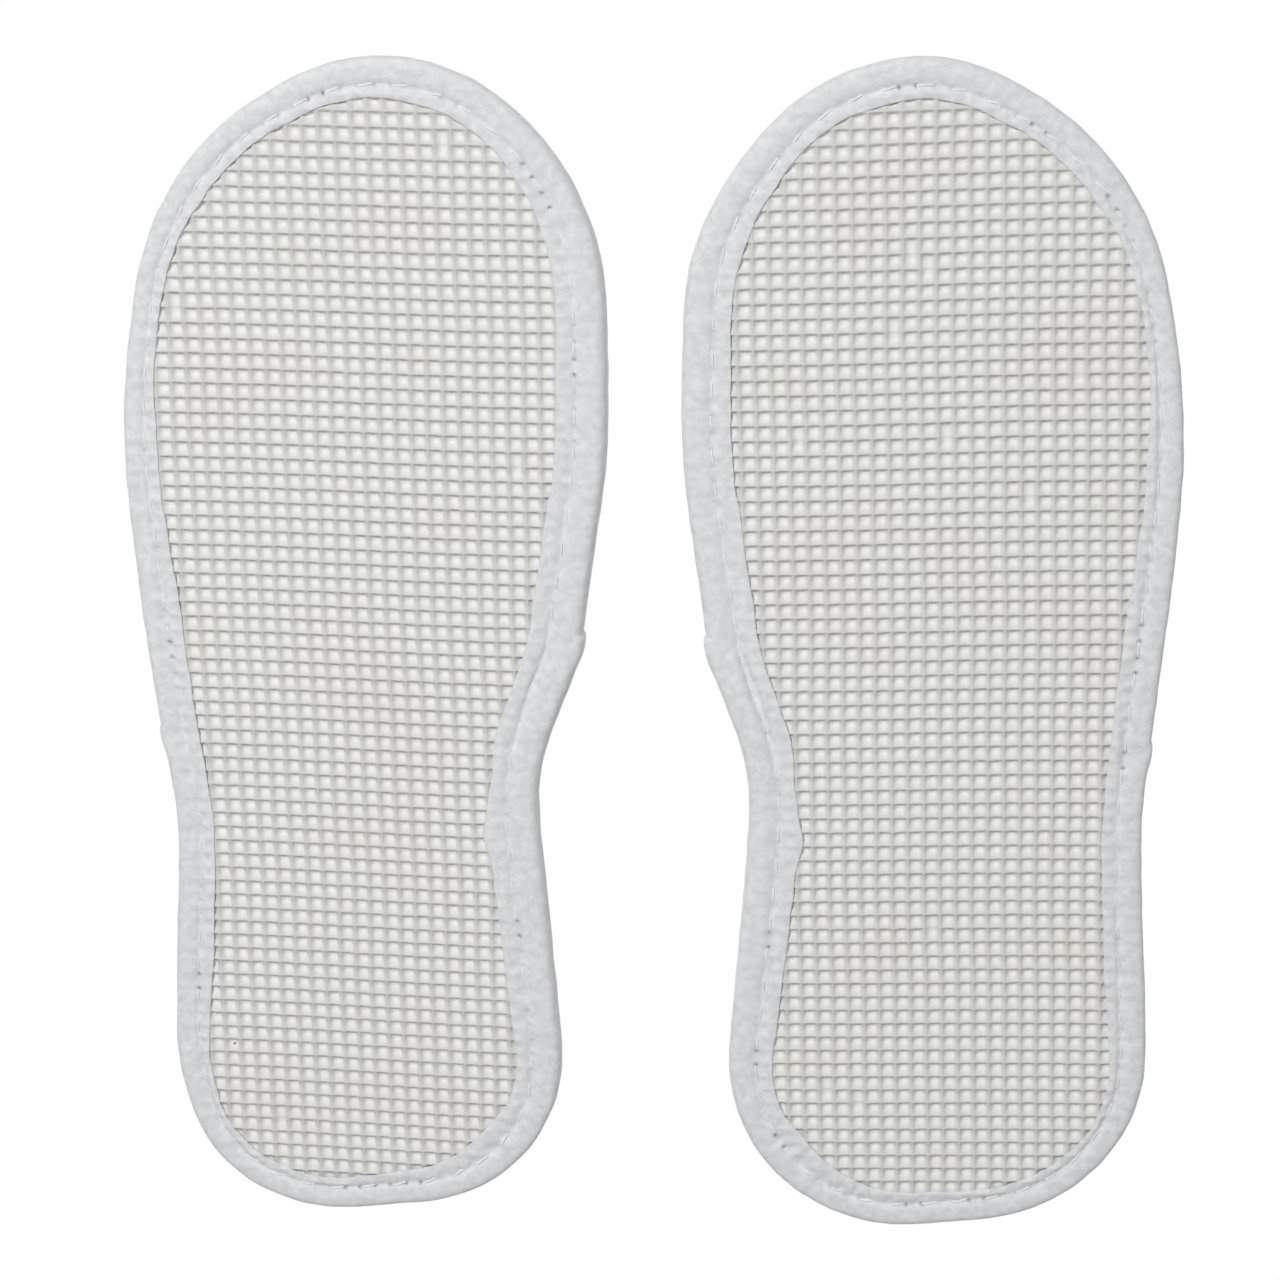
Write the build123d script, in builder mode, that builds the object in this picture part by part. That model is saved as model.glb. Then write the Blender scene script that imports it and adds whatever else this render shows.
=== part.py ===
"""A pair of closed-toe spa slippers, soles down, toes along +Y.

The right slipper is drawn lying flat with its heel at the origin and its inner (medial) side
towards -X. Each piece is then set in its place, and mirrored in the YZ plane for the left slipper.
"""

import os

from build123d import *

# Sole outline: (x, y) of each corner of a polygon, and the radius that rounds the corner.
outline_corners = [
    (50.6, 1.9, 44.5),
    (49.6, 106.1, 141.0),
    (60.4, 206.0, 179.0),
    (52.6, 264.1, 65.0),
    (-5.9, 300.4, 46.0),
    (-53.6, 262.1, 62.0),
    (-57.5, 199.7, 126.0),
    (-52.7, 149.3, 36.0),
    (-42.1, 117.8, 56.0),
    (-55.4, -1.6, 41.5),
]

# Thicknesses of the sole's layers, from the ground up.
tread_depth = 1.0
outsole_thickness = 3.2
foam_thickness = 3.0
cover_thickness = 1.0

# The vamp's cloths, as they stand over the foot and as the seam squeezes them.
outer_thickness = 0.8
padding_thickness = 2.0
lining_thickness = 0.6
squeezed_padding = 0.8

# Binding tapes and threads.
tape_thickness = 0.6
thread_thickness = 0.3
thread_width = 0.6
ground_flange = 10.0
top_flange = 9.0
tread_inset = 10.5
seam_inset = 7.0
throat_tape_width = 10.0
throat_seam_depth = 6.5

# The vamp's arch: where it rises from the margin, its height, and how its sides stand.
arch_inset = 10.0
arch_height = 54.0
arch_reach = 175.0
arch_stations = 11
arch_taper = 0.55
medial_lean = 0.12
lateral_lean = 0.30

# The throat runs across the sole's edges at these heights up the sole, and leans to the toes.
medial_throat_y = 153.0
lateral_throat_y = 125.0
throat_half_width = 48.0
throat_lean = 14.0

# How the pair lies: each heel's distance from the pair's middle, and how far the toes turn in.
heel_offset = 74.5
toe_in = 2.5

# Heights of the layers' upper faces.
outsole_top = outsole_thickness
foam_top = outsole_top + foam_thickness
cover_top = foam_top + cover_thickness
lining_top = cover_top + lining_thickness
padding_top = lining_top + squeezed_padding
margin_top = padding_top + outer_thickness


def outline(inset):
    """The sole's outline as a face, moved in from the edge by inset."""
    with BuildSketch() as shape:
        with BuildLine():
            corners = [(x, y) for x, y, radius in outline_corners]
            radii = [radius for x, y, radius in outline_corners]
            FilletPolyline(*corners, radius=radii, close=True)
        make_face()
        if inset:
            offset(amount=-inset, mode=Mode.REPLACE)
    return shape.sketch


def width_at(face, y):
    """The medial and lateral ends of the line across a face at y."""
    across = (face & Edge.make_line((-200, y), (200, y))).bounding_box()
    return across.min.X, across.max.X


def throat_plane(forward):
    """The leaning plane of the vamp's open edge, moved towards the toes by forward."""
    along = Vector(2 * throat_half_width, lateral_throat_y - medial_throat_y, 0).normalized()
    middle = Vector(0, (medial_throat_y + lateral_throat_y) / 2, cover_top)
    upright = Plane(middle, x_dir=along, z_dir=Vector(0, 0, 1).cross(along))
    leaning = Plane(middle, x_dir=along, z_dir=upright.z_dir.rotate(Axis((0, 0, 0), along), -throat_lean))
    return leaning.offset(forward)


def layer(bottom, top, outer_inset, inner_inset=None):
    """A flat layer of the sole, or a band of it between two insets."""
    with BuildPart() as slab:
        with BuildSketch(Plane.XY.offset(bottom)):
            add(outline(outer_inset))
            if inner_inset is not None:
                add(outline(inner_inset), mode=Mode.SUBTRACT)
        extrude(amount=top - bottom)
    return slab.part


def foot_form(depth):
    """The solid under the vamp's arch, its surface moved in by depth from the vamp's outside."""
    face = outline(arch_inset + depth)
    tip = face.bounding_box().max.Y
    with BuildPart() as form:
        for station in range(1, arch_stations + 1):
            behind_tip = arch_reach * (station / arch_stations) ** 2
            medial, lateral = width_at(face, tip - behind_tip)
            width = lateral - medial
            height = arch_height * (behind_tip / arch_reach) ** arch_taper - depth
            with BuildSketch(Plane.XZ.offset(behind_tip - tip)):
                with BuildLine():
                    foot_medial = (medial, cover_top)
                    foot_lateral = (lateral, cover_top)
                    Bezier(
                        foot_medial,
                        (medial + medial_lean * width, cover_top + height * 4 / 3),
                        (lateral - lateral_lean * width, cover_top + height * 4 / 3),
                        foot_lateral,
                    )
                    Line(foot_lateral, foot_medial)
                make_face()
        loft()
    return form.part


# Surfaces of the vamp, from its outside inwards.
outer_form = foot_form(0)
padding_form = foot_form(outer_thickness)
lining_form = foot_form(outer_thickness + padding_thickness)
vamp_thickness = outer_thickness + padding_thickness + lining_thickness
cavity_form = foot_form(vamp_thickness)

with BuildPart() as outsole:
    add(layer(tread_depth, outsole_top, tape_thickness))
    add(layer(0, tread_depth, tread_inset))

with BuildPart() as footbed_foam:
    add(layer(outsole_top, foam_top, tape_thickness))

with BuildPart() as footbed_cover:
    add(layer(foam_top, cover_top, tape_thickness))


def vamp_layer(bottom, top, surface, inside):
    """One cloth of the vamp: its flat sewn margin and its arch, open behind the throat."""
    with BuildPart() as cloth:
        add(surface)
        split(bisect_by=Plane.XY.offset(bottom), keep=Keep.TOP)
        add(layer(bottom, top, tape_thickness))
        add(inside, mode=Mode.SUBTRACT)
        split(bisect_by=throat_plane(0), keep=Keep.TOP)
    return cloth.part


with BuildPart() as vamp_outer:
    add(vamp_layer(padding_top, margin_top, outer_form, padding_form))

with BuildPart() as vamp_padding:
    add(vamp_layer(lining_top, padding_top, padding_form, lining_form))

with BuildPart() as vamp_lining:
    add(vamp_layer(cover_top, lining_top, lining_form, cavity_form))


def throat_band(outside, inside, from_throat, to_throat):
    """The band of an arch between two surfaces and two distances forward of the throat."""
    with BuildPart() as band:
        add(outside)
        add(inside, mode=Mode.SUBTRACT)
        split(bisect_by=throat_plane(from_throat), keep=Keep.TOP)
        split(bisect_by=throat_plane(to_throat), keep=Keep.BOTTOM)
    return band.part


# The throat's tape, folded over the vamp's edge from its outside to its lining.
tape_outer_form = foot_form(-tape_thickness)
tape_inner_form = foot_form(vamp_thickness + tape_thickness)

with BuildPart() as throat_binding:
    add(throat_band(tape_outer_form, tape_inner_form, -tape_thickness, throat_tape_width))
    add([vamp_outer.part, vamp_padding.part, vamp_lining.part], mode=Mode.SUBTRACT)

# The throat's seam: one thread on the tape's outer leaf, and one on its inner leaf.
seam_from = throat_seam_depth - thread_width / 2
seam_to = throat_seam_depth + thread_width / 2

with BuildPart() as throat_needle_thread:
    add(throat_band(foot_form(-tape_thickness - thread_thickness), tape_outer_form, seam_from, seam_to))
    split(bisect_by=Plane.XY.offset(margin_top + tape_thickness), keep=Keep.TOP)

with BuildPart() as throat_bobbin_thread:
    innermost = foot_form(vamp_thickness + tape_thickness + thread_thickness)
    add(throat_band(tape_inner_form, innermost, seam_from, seam_to))
    split(bisect_by=Plane.XY.offset(cover_top + tape_thickness), keep=Keep.TOP)


def stepped_band(below, thickness, outer_inset, inner_inset):
    """A band on the sole's upper side that climbs from the footbed onto the vamp's margin.

    The step is just behind the throat, and below is how much other tape lies under the band.
    """
    heel_bottom = cover_top + below
    front_bottom = margin_top + below
    front_top = front_bottom + thickness
    with BuildPart() as above_heel:
        add(layer(heel_bottom + thickness, front_top, outer_inset, inner_inset))
        split(bisect_by=throat_plane(-below - thickness), keep=Keep.BOTTOM)
    with BuildPart() as under_front:
        add(layer(heel_bottom, front_bottom, max(outer_inset, tape_thickness), inner_inset))
        split(bisect_by=throat_plane(-below), keep=Keep.TOP)
    with BuildPart() as band:
        add(layer(heel_bottom, front_top, outer_inset, inner_inset))
        add([above_heel.part, under_front.part], mode=Mode.SUBTRACT)
    return band.part


# The sole's tape: a flange on the ground side, the edge's wall, and a flange on the foot's side.
tape_bottom = tread_depth - tape_thickness

with BuildPart() as sole_binding:
    add(layer(tape_bottom, tread_depth, 0, ground_flange))
    add(layer(tread_depth, cover_top, 0, tape_thickness))
    add(stepped_band(0, tape_thickness, 0, top_flange))

# The sole's seam, near the middle of the tape.
seam_outer = seam_inset - thread_width / 2
seam_inner = seam_inset + thread_width / 2

with BuildPart() as sole_needle_thread:
    add(layer(tape_bottom - thread_thickness, tape_bottom, seam_outer, seam_inner))

with BuildPart() as sole_bobbin_thread:
    add(stepped_band(tape_thickness, thread_thickness, seam_outer, seam_inner))

# The slipper's place in the pair, with the pair's middle at the origin.
turned = Rot(0, 0, toe_in) * outline(0)
place = Pos(heel_offset, -turned.bounding_box().center().Y, 0) * Rot(0, 0, toe_in)

pieces = {
    "outsole": outsole,
    "footbed_foam": footbed_foam,
    "footbed_cover": footbed_cover,
    "vamp_outer": vamp_outer,
    "vamp_padding": vamp_padding,
    "vamp_lining": vamp_lining,
    "throat_binding": throat_binding,
    "throat_needle_thread": throat_needle_thread,
    "throat_bobbin_thread": throat_bobbin_thread,
    "sole_binding": sole_binding,
    "sole_needle_thread": sole_needle_thread,
    "sole_bobbin_thread": sole_bobbin_thread,
}

os.makedirs("parts", exist_ok=True)
for name, piece in pieces.items():
    right = place * piece.part
    right.label = "right_" + name
    export_step(right, "parts/" + right.label + ".step")
    left = mirror(right, about=Plane.YZ)
    left.label = "left_" + name
    export_step(left, "parts/" + left.label + ".step")
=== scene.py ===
"""Spa slippers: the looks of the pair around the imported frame. Lengths are in millimetres
until a mesh is made, which turns them to metres."""

import math

import bmesh
import bpy
import numpy as np
from mathutils import Matrix, Vector
from mathutils.kdtree import KDTree


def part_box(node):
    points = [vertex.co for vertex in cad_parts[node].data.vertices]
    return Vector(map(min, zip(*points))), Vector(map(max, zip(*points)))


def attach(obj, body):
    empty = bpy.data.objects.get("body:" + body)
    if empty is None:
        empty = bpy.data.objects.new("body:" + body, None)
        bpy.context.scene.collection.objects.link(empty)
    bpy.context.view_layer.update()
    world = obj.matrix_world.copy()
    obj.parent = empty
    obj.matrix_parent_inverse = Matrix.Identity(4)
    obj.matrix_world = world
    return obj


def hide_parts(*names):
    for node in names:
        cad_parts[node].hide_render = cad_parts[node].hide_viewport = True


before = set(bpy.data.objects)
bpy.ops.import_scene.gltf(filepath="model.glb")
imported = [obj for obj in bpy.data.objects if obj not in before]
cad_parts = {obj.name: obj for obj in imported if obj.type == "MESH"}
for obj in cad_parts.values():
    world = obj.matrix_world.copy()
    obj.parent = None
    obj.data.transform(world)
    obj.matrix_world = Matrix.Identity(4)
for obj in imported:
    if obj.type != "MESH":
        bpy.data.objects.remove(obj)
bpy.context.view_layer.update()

METRES = 0.001
PER_MM = (1 / METRES,) * 3
SIDES = {"right": 1.0, "left": -1.0}
BODY = {"right": "right_slipper", "left": "left_slipper"}

# ---------------------------------------------------------------- sizes, as the frame has them
HEEL_OFFSET = 74.5
HEEL_Y = -145.2
TOE_IN = math.radians(2.5)
COVER_TOP = 7.2
MARGIN_TOP = 9.4
OUTSOLE_TOP = 3.2
FOAM_TOP = 6.2
SEAM_INSET = 7.0
GROUND_FLANGE = 10.0
MEDIAL_THROAT_Y = 153.0
LATERAL_THROAT_Y = 125.0
THROAT_HALF_WIDTH = 48.0
THROAT_LEAN = math.radians(14.0)
ARCH_INSET = 10.0
ARCH_HEIGHT = 54.0
ARCH_REACH = 175.0
ARCH_TAPER = 0.55
MEDIAL_LEAN = 0.12
LATERAL_LEAN = 0.30
OUTER_CLOTH = 0.8
PADDING = 2.0
SQUEEZED_PADDING = 0.8
LINING = 0.6
THROAT_SEAM = 6.5

# ---------------------------------------------------------------- sizes of the visual model alone
# How finely the rim, the vamp and the footbed are divided.
RIM = 1200
ARCH_ROWS, ARCH_COLUMNS, MARGIN_COLUMNS = 70, 61, 7
COLUMNS = ARCH_COLUMNS + 2 * MARGIN_COLUMNS
BED_ROWS, BED_COLUMNS = 150, 61

# Stitches.
STITCH_PITCH = 8.0
STITCH_LENGTH = 3.7
THROAT_PITCH = 5.0
THREAD = 0.42
STRAND_SIDES = 7

# Waffle tread: the pits' pitch, and a rib's half width at its crest and at its foot.
CELLS_ACROSS, CELLS_ALONG = 34, 86
CELL_ACROSS = 3.85
CELL_ALONG = 3.6
CREST_ACROSS = 0.34
CREST_ALONG = 0.20
FOOT_HALF = 1.22
STEEP_FOOT = 0.46
GENTLE_FOOT = 1.62
PIT_DEPTH = 1.45
FLOOR_CROWN = 0.05
FOAM_INSET = 1.6
RIB_SEED = {"right": 5, "left": 11}
LATTICE_TURN = {"right": math.radians(-0.4), "left": math.radians(-1.6)}
LATTICE_SHEAR = {"right": math.radians(1.5), "left": 0.0}

# The sole tape's section: (depth in from the rim, height), from the ground flange's cut edge round
# the wall to the top flange's cut edge, then back along the inside. Heights are for the front.
TAPE_OUTSIDE = [
    (10.0, 0.26), (10.05, 0.08), (9.5, 0.0), (8.6, 0.0), (7.8, 0.26), (7.0, 0.60), (6.2, 0.30), (5.2, 0.02),
    (3.4, -0.02), (1.5, 0.12), (0.35, 1.1), (0.0, 3.2), (-0.1, 5.4), (0.15, 7.4), (1.0, 9.0), (2.6, 10.0),
    (4.4, 10.3), (6.0, 9.9), (7.0, 9.35), (8.0, 9.8), (9.0, 10.0), (9.15, 9.75)]
TAPE_INSIDE = [
    (8.9, 9.45), (7.0, 8.9), (4.4, 9.6), (2.6, 9.2), (1.4, 8.2), (0.6, 6.4), (0.65, 4.0), (1.2, 2.1),
    (2.4, 1.0), (4.2, 0.6), (7.0, 1.25), (9.0, 0.55)]
# Which of its points lies in the ground seam, and which is the last one on the wall.
SEAM_CONTROL = 5
TOP_FROM = 12
GROUND_BELOW = 3.0
HEEL_DROP = 2.2
TAPE_SEED = {"right": 20, "left": 40}

# The throat tape's flange: (distance forward of the throat, height over the cloth).
THROAT_FLANGE = [
    (10.0, 0.05), (9.6, 0.55), (8.6, 0.70), (7.4, 0.55), (6.5, 0.30), (5.6, 0.60), (4.4, 0.95), (3.0, 1.10),
    (1.6, 1.10), (0.5, 1.0)]

# The vamp's cloth: the share it is cut over its place, and the furthest it may settle.
SPARE_CLOTH = 0.018
MOST_SAG = 3.0


# ---------------------------------------------------------------- small tools
def linear(hex_colour):
    """sRGB hex to linear RGBA."""
    channels = [int(hex_colour[i:i + 2], 16) / 255 for i in (1, 3, 5)]
    curved = [c / 12.92 if c <= 0.04045 else ((c + 0.055) / 1.055) ** 2.4 for c in channels]
    return (*curved, 1.0)


def add_node(tree, kind, settings=(), inputs=()):
    """One node with its properties set; each input is a value or the socket that feeds it."""
    made = tree.nodes.new(kind)
    for key, value in dict(settings).items():
        setattr(made, key, value)
    feed(tree, made, dict(inputs))
    return made


def feed(tree, node, inputs):
    """Gives inputs of a node their values, or the sockets that feed them."""
    for key, value in inputs.items():
        if isinstance(value, bpy.types.NodeSocket):
            tree.links.new(value, node.inputs[key])
        else:
            node.inputs[key].default_value = value


def bell(value, width):
    """1 at 0, falling off smoothly over the width."""
    return np.exp(-(value / width) ** 2)


def smoothstep(low, high, value):
    """0 at low, 1 at high, smooth between."""
    t = np.clip((value - low) / (high - low), 0, 1)
    return t * t * (3 - 2 * t)


def quads(index):
    """Faces of a grid of vertex numbers."""
    corners = [index[:-1, :-1], index[1:, :-1], index[1:, 1:], index[:-1, 1:]]
    return np.stack(corners, -1).reshape(-1, 4)


def shell(upper, lower, first_wall=True, last_wall=True):
    """Points and faces of the closed skin between two grids of points."""
    rows, columns = upper.shape[:2]
    index = np.arange(rows * columns).reshape(rows, columns)
    shift = rows * columns
    faces = [quads(index), quads(index + shift)[:, ::-1]]
    borders = [index[:, 0][::-1], index[:, -1]]
    if first_wall:
        borders.append(index[0])
    if last_wall:
        borders.append(index[-1][::-1])
    for line in borders:
        a, b = line[:-1], line[1:]
        faces.append(np.stack([a, b, b + shift, a + shift], -1))
    points = np.concatenate([upper.reshape(-1, 3), lower.reshape(-1, 3)])
    return points, np.concatenate(faces)


def link(name, data):
    """A new object at the origin of the scene."""
    made = bpy.data.objects.new(name, data)
    bpy.context.scene.collection.objects.link(made)
    return made


def make_piece(name, points, faces, merge=0.0, attributes=None):
    """A mesh object in metres with its faces outwards."""
    mesh = bpy.data.meshes.new(name)
    faces = faces if isinstance(faces, list) else faces.tolist()
    mesh.from_pydata((points * METRES).tolist(), [], faces)
    for key, value in (attributes or {}).items():
        layer = mesh.attributes.new(key, "FLOAT", "POINT")
        layer.data.foreach_set("value", np.asarray(value, np.float32))
    if merge:
        work = bmesh.new()
        work.from_mesh(mesh)
        bmesh.ops.remove_doubles(work, verts=work.verts, dist=merge * METRES)
        bmesh.ops.dissolve_degenerate(work, edges=work.edges, dist=merge * METRES / 4)
        bmesh.ops.recalc_face_normals(work, faces=work.faces)
        work.to_mesh(mesh)
        work.free()
    finish_mesh(mesh)
    return link(name, mesh)


def finish_mesh(mesh):
    """Turns a closed mesh's faces outwards and shades it smooth."""
    mesh.update()
    mesh.calc_loop_triangles()
    corners = np.zeros(len(mesh.loop_triangles) * 3, np.int32)
    mesh.loop_triangles.foreach_get("vertices", corners)
    place = np.zeros(len(mesh.vertices) * 3)
    mesh.vertices.foreach_get("co", place)
    a, b, c = place.reshape(-1, 3)[corners.reshape(-1, 3)].transpose(1, 0, 2)
    inside_out = np.einsum("ij,ij->", a, np.cross(b, c)) < 0
    if inside_out:
        mesh.flip_normals()
    mesh.polygons.foreach_set("use_smooth", np.ones(len(mesh.polygons), bool))


def catmull(controls, samples):
    """Points of a closed smooth line: controls is [..., n], samples are places in 0..n."""
    count = controls.shape[-1]
    k = np.floor(samples).astype(int)
    t = samples - k
    p0, p1, p2, p3 = (controls[..., (k + i) % count] for i in (-1, 0, 1, 2))
    return 0.5 * (2 * p1 + (p2 - p0) * t + (2 * p0 - 5 * p1 + 4 * p2 - p3) * t * t
                  + (3 * p1 - p0 - 3 * p2 + p3) * t ** 3)


def hum(seed, *coordinates):
    """A smooth made-up unevenness from -1 to 1, the same each time."""
    draws = np.random.default_rng(seed)
    total = 0
    for wave in range(6):
        phase = draws.uniform(0, 2 * math.pi)
        along = sum(c * draws.uniform(0.5, 1.6) * draws.choice([-1, 1]) for c in coordinates)
        total = total + np.sin(along * (1 + 0.37 * wave) + phase) / (1 + 0.4 * wave)
    return total / 3.2


def soften(line, width):
    """A closed line or row of values, averaged over a few neighbours."""
    reach = np.arange(-3 * width, 3 * width + 1)
    weights = np.exp(-0.5 * (reach / width) ** 2)
    weights /= weights.sum()
    return sum(w * np.roll(line, -r, axis=0) for w, r in zip(weights, reach))


def inward(line):
    """Unit normals of a counter-clockwise closed line, pointing in."""
    along = np.roll(line, -1, axis=0) - np.roll(line, 1, axis=0)
    along /= np.linalg.norm(along, axis=1, keepdims=True)
    return np.stack([-along[:, 1], along[:, 0]], -1)


# ---------------------------------------------------------------- the sole's rim
def rim_of_frame(node):
    """Evenly spaced points round the outer edge of a node's lowest face, and its length."""
    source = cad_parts[node].data
    place = np.zeros(len(source.vertices) * 3)
    source.vertices.foreach_get("co", place)
    place = place.reshape(-1, 3) / METRES
    lowest = place[:, 2].min()
    source.calc_loop_triangles()
    corners = np.zeros(len(source.loop_triangles) * 3, np.int32)
    source.loop_triangles.foreach_get("vertices", corners)
    corners = corners.reshape(-1, 3)
    low = corners[(place[corners][:, :, 2] < lowest + 0.01).all(1)]
    keys = {}
    number = [keys.setdefault(tuple(np.round(p[:2], 3)), len(keys)) for p in place]
    spots = np.array(list(keys))
    uses = {}
    for tri in low:
        t = [number[v] for v in tri]
        for a, b in ((t[0], t[1]), (t[1], t[2]), (t[2], t[0])):
            if a != b:
                uses[frozenset((a, b))] = uses.get(frozenset((a, b)), 0) + 1
    links = {}
    for pair, count in uses.items():
        if count == 1:
            a, b = pair
            links.setdefault(a, []).append(b)
            links.setdefault(b, []).append(a)
    start = max(links, key=lambda v: spots[v][0])
    loop, before = [start], None
    while True:
        here = loop[-1]
        ahead = [v for v in links[here] if v != before]
        before = here
        if not ahead or ahead[0] == start and len(loop) > 2:
            break
        loop.append(ahead[0])
        if len(loop) > len(links):
            break
    line = spots[loop]
    line = np.vstack([line, line[:1]])
    run = np.concatenate([[0], np.cumsum(np.linalg.norm(np.diff(line, axis=0), axis=1))])
    even = np.linspace(0, run[-1], RIM, endpoint=False)
    rim = np.stack([np.interp(even, run, line[:, i]) for i in (0, 1)], -1)
    (x, y), (next_x, next_y) = rim.T, np.roll(rim, -1, axis=0).T
    if np.sum(x * next_y - next_x * y) < 0:
        rim = rim[::-1]
    return soften(rim, 5), run[-1]


turn_c, turn_s = math.cos(TOE_IN), math.sin(TOE_IN)


def to_own(points):
    """From the pair's frame to the right slipper's own: heel at the origin, medial side -X."""
    x, y = points[..., 0] - HEEL_OFFSET, points[..., 1] - HEEL_Y
    return np.stack([x * turn_c + y * turn_s, -x * turn_s + y * turn_c], -1)


def to_pair(points):
    """From the right slipper's own frame to the pair's; a height stays as it is."""
    x, y = points[..., 0], points[..., 1]
    flat = [x * turn_c - y * turn_s + HEEL_OFFSET, x * turn_s + y * turn_c + HEEL_Y]
    return np.stack(flat + [points[..., i] for i in range(2, points.shape[-1])], -1)


class Sole:
    """One slipper's rim, drawn as a right slipper, and what is measured in from it."""

    def __init__(self, side):
        self.side = side
        self.rim, self.length = rim_of_frame("right_sole_binding")
        self.measure()
        self.rim = soften(self.rim - self.inward * self.hand_cut()[:, None], 3)
        self.measure()
        self.arc = np.arange(RIM) * self.length / RIM
        medial, x, y, arc = self.near_medial, self.own_x, self.own_y, self.arc
        # 1 where the vamp is sewn in, 0 round the heel.
        self.in_front = np.where(x < 0, smoothstep(149.5, 154.0, y), smoothstep(121.5, 126.0, y))
        # The tape's inner edge and the seam, as depths from the rim.
        middle = np.sin(np.clip((y - 8) / 270, 0, 1) * math.pi) ** 0.6
        width = 9.2 + middle * (0.5 + 2.6 * medial)
        width += 0.35 * hum(3, arc / 9.0) + 0.25 * hum(4, arc / 3.1)
        width += self.bump("medial", 104, 5) * 1.5 - self.bump("medial", 118, 6) * 0.8
        width += 2.2 * self.bump("medial", 14, 13) - 1.2 * self.bump("lateral", 22, 20)
        narrow = self.bump("lateral", 232, 42)
        self.tape_width = soften(width - 2.5 * narrow, 2)
        self.seam_depth = 6.2 + middle * 1.4 * medial + 0.2 * hum(5, arc / 14.0) - 1.3 * narrow
        self.tree = KDTree(RIM)
        for i, p in enumerate(self.rim):
            self.tree.insert((p[0], p[1], 0), i)
        self.tree.balance()

    def measure(self):
        """What follows from the rim: its normals, its place in the slipper and its medial share."""
        self.inward = inward(self.rim)
        own = to_own(self.rim)
        self.own_x, self.own_y = own[:, 0], own[:, 1]
        self.near_medial = soften((self.own_x < -2).astype(float), 12)

    def bump(self, edge, y, width):
        """1 at one place on the medial or lateral edge, falling off along the rim."""
        share = self.near_medial if edge == "medial" else 1 - self.near_medial
        return share * bell(self.own_y - y, width)

    def hand_cut(self):
        """The pair is cut and turned by hand, so each rim wanders a little from the pattern."""
        out = 1.6 * self.bump("lateral", 172, 48)
        if self.side == "right":
            out = out - 1.3 * self.bump("lateral", 62, 42) - 1.2 * self.bump("lateral", 98, 20)
            out = out + 4.2 * self.bump("lateral", 6, 17)
            out = out - 1.2 * self.bump("medial", 150, 60)
        else:
            out = out + 2.4 * self.bump("medial", 45, 60) + 1.0 * self.bump("lateral", 45, 50)
            out = out - 2.0 * self.bump("medial", 272, 26) + 0.8 * self.bump("medial", 110, 20)
        return out

    def depth(self, points):
        """For points [n, 2]: distance in from the rim, and the nearest rim sample."""
        nearest = np.array([self.tree.find((p[0], p[1], 0))[1] for p in points])
        depth = np.einsum("ij,ij->i", points - self.rim[nearest], self.inward[nearest])
        return depth, nearest


# ---------------------------------------------------------------- waffle tread
sole_box = np.array(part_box("right_outsole")) / METRES
lattice_centre = (sole_box[0] + sole_box[1])[:2] / 2


def lattice_wave(points):
    """How far the embossed rows wander from straight."""
    x, y = points[..., 0], points[..., 1]
    across = 0.22 * np.sin(y / 21.0 + 0.6) + 0.12 * np.sin(y / 7.3) + 0.10 * hum(51, x / 2.6, y / 2.9)
    along = 0.20 * np.sin(x / 17.0) + 0.10 * np.sin(y / 31.0) + 0.10 * hum(52, x / 2.7, y / 2.5)
    return np.stack([across, along], -1)


def from_lattice(points, side):
    """Lattice place to place on the right-hand sole, before mirroring."""
    turn = LATTICE_TURN[side] * SIDES[side]
    shear = LATTICE_SHEAR[side] * SIDES[side]
    x, y = points[..., 0], points[..., 1] + points[..., 0] * math.tan(shear)
    x, y = x * math.cos(turn) - y * math.sin(turn), x * math.sin(turn) + y * math.cos(turn)
    local = np.stack([x, y], -1)
    return local + lattice_centre + lattice_wave(local)


def to_lattice(points, side):
    """Place on the right-hand sole to lattice place, close enough for the ribs' marks in the tape."""
    turn = LATTICE_TURN[side] * SIDES[side]
    shear = LATTICE_SHEAR[side] * SIDES[side]
    local = points - lattice_centre
    local = local - lattice_wave(local)
    x = local[..., 0] * math.cos(turn) + local[..., 1] * math.sin(turn)
    y = -local[..., 0] * math.sin(turn) + local[..., 1] * math.cos(turn)
    return np.stack([x, y - x * math.tan(shear)], -1)


# ---------------------------------------------------------------- node trees
# The sums that lay the tread's grid, as (result, operation, first, second); * stands for the axis.
# A cell is six steps: crest, edge and foot of one rib, the pit's middle, then the next rib's.
STEP_SUMS = [
    ("steps *", "MULTIPLY", "Cells *", 6),
    ("points *", "ADD", "steps *", 1),
    ("share *", "ADD", "place *", 0.5),
    ("rough step *", "MULTIPLY", "share *", "steps *"),
    ("step *", "ROUND", "rough step *", 0),
    ("sure step *", "ADD", "step *", 0.1),
    ("cells passed *", "DIVIDE", "sure step *", 6),
    ("cell *", "FLOOR", "cells passed *", 0),
    ("first step *", "MULTIPLY", "cell *", 6),
    ("within *", "SUBTRACT", "step *", "first step *"),
    ("far *", "GREATER_THAN", "within *", 3.5),
    ("to the end *", "SUBTRACT", 6, "within *"),
    ("ring *", "MINIMUM", "within *", "to the end *"),
    ("index *", "ADD", "ring *", 0.1),
    ("half *", "MULTIPLY", "Pitch *", 0.5),
    ("nearest *", "ADD", "cell *", "far *")]
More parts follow.
